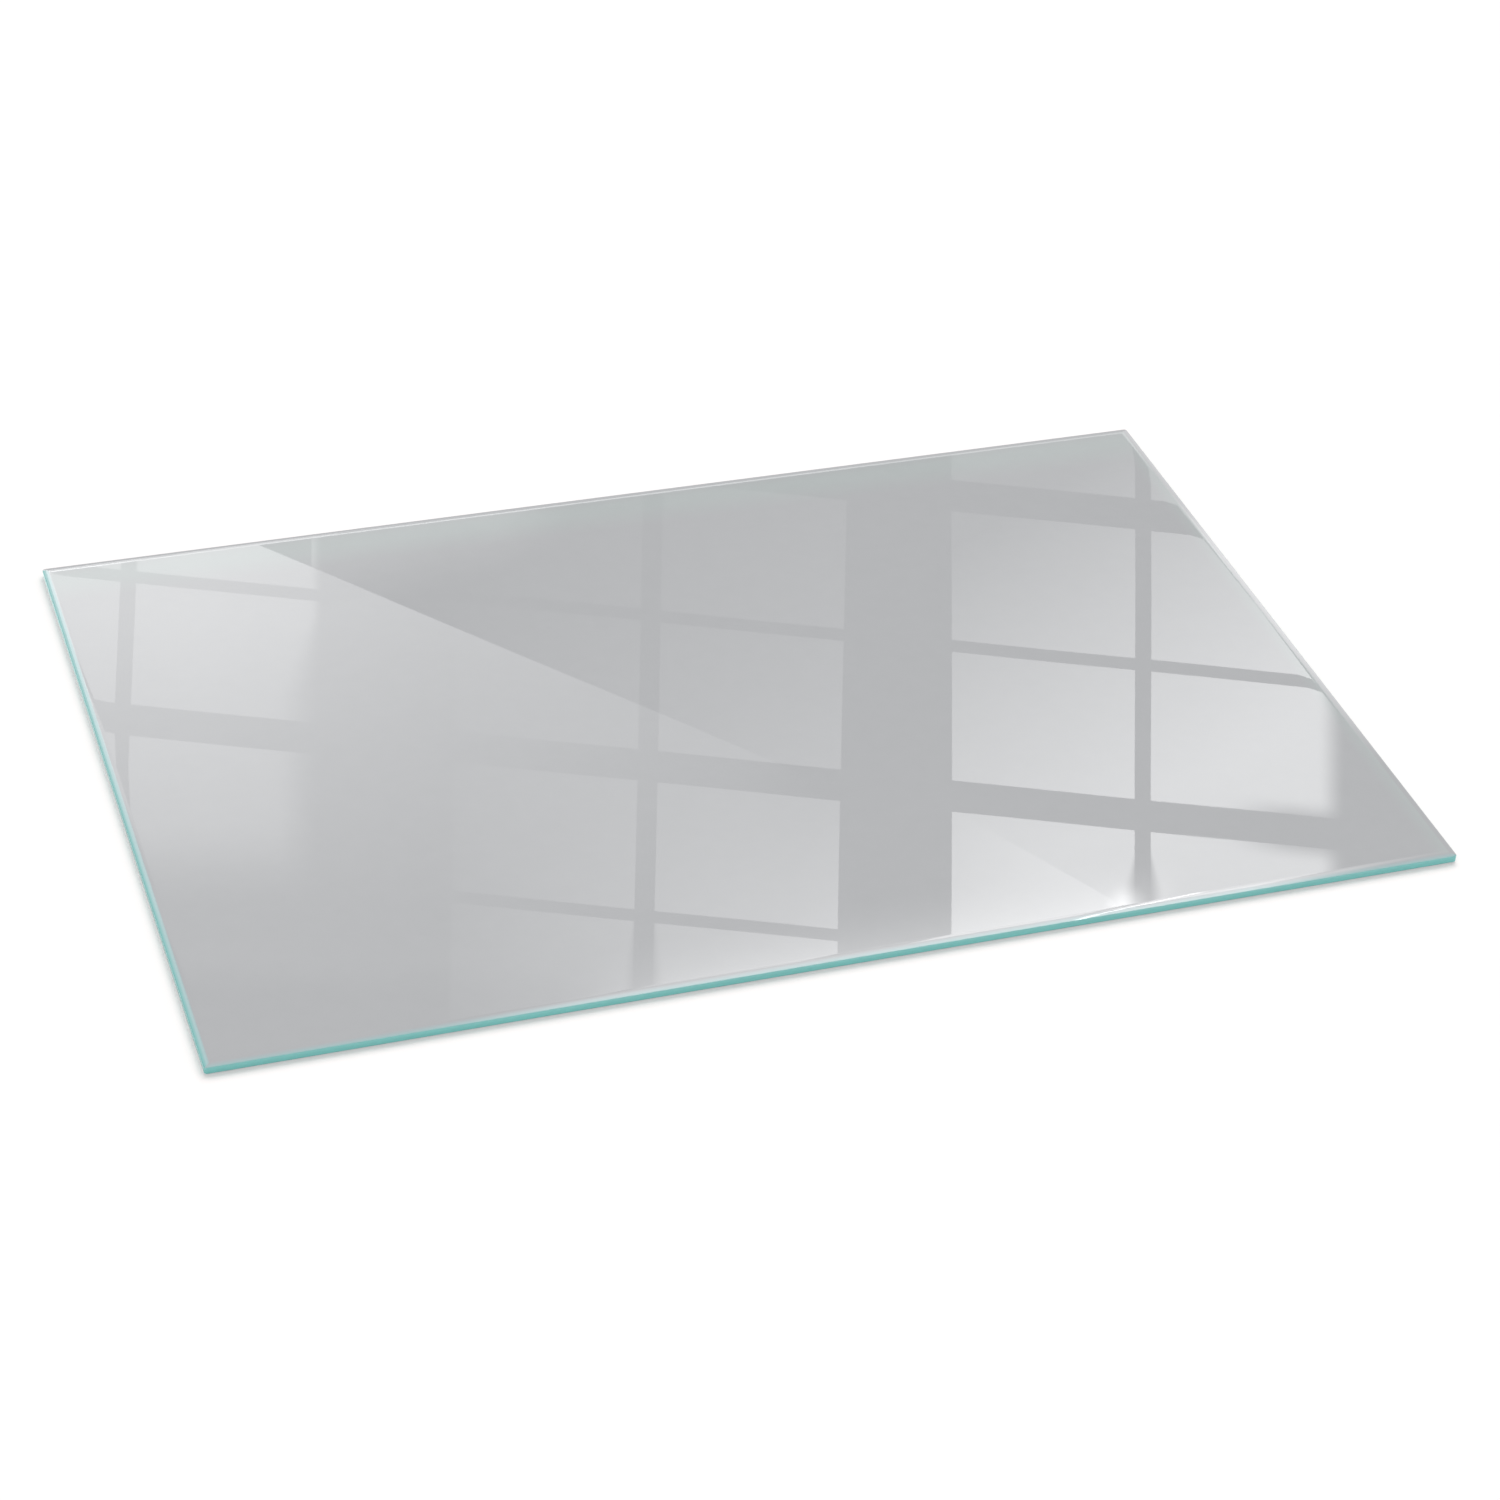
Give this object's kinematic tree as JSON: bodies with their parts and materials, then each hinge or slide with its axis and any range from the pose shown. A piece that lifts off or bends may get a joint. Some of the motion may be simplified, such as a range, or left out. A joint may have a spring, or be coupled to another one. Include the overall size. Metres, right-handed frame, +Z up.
{
  "type": "glass chair mat",
  "caption": "Flat rectangular sheet of bevelled glass with a grey film beneath and clear anti-slip pads, laid on a hard floor so that an office chair can roll on it.",
  "frame": {"origin": "on the floor plane, under the middle of the pane: the middle of the bounding box's lowest face, where the pads' undersides lie", "axes": "+X along the long side to the right, +Y to the rear, +Z up, out of the surface the chair rolls on"},
  "size_m": [1.2, 0.8, 0.0094],
  "materials": {
    "edge_glass": "clear float glass, polished, teal where seen through its edge",
    "grey_film": "light grey, satin",
    "clear_silicone": "clear, soft, slightly cloudy",
    "clear_adhesive": "clear double-sided tape"
  },
  "bodies": {
    "root": {"glass_pane": "edge_glass", "backing_film": "grey_film", "pad_front_left": "clear_silicone", "pad_front_centre_left": "clear_silicone", "pad_front_centre_right": "clear_silicone", "pad_front_right": "clear_silicone", "pad_middle_left": "clear_silicone", "pad_middle_centre_left": "clear_silicone", "pad_middle_centre_right": "clear_silicone", "pad_middle_right": "clear_silicone", "pad_rear_left": "clear_silicone", "pad_rear_centre_left": "clear_silicone", "pad_rear_centre_right": "clear_silicone", "pad_rear_right": "clear_silicone", "adhesive_front_left": "clear_adhesive", "adhesive_front_centre_left": "clear_adhesive", "adhesive_front_centre_right": "clear_adhesive", "adhesive_front_right": "clear_adhesive", "adhesive_middle_left": "clear_adhesive", "adhesive_middle_centre_left": "clear_adhesive", "adhesive_middle_centre_right": "clear_adhesive", "adhesive_middle_right": "clear_adhesive", "adhesive_rear_left": "clear_adhesive", "adhesive_rear_centre_left": "clear_adhesive", "adhesive_rear_centre_right": "clear_adhesive", "adhesive_rear_right": "clear_adhesive"}
  },
  "joints": []
}
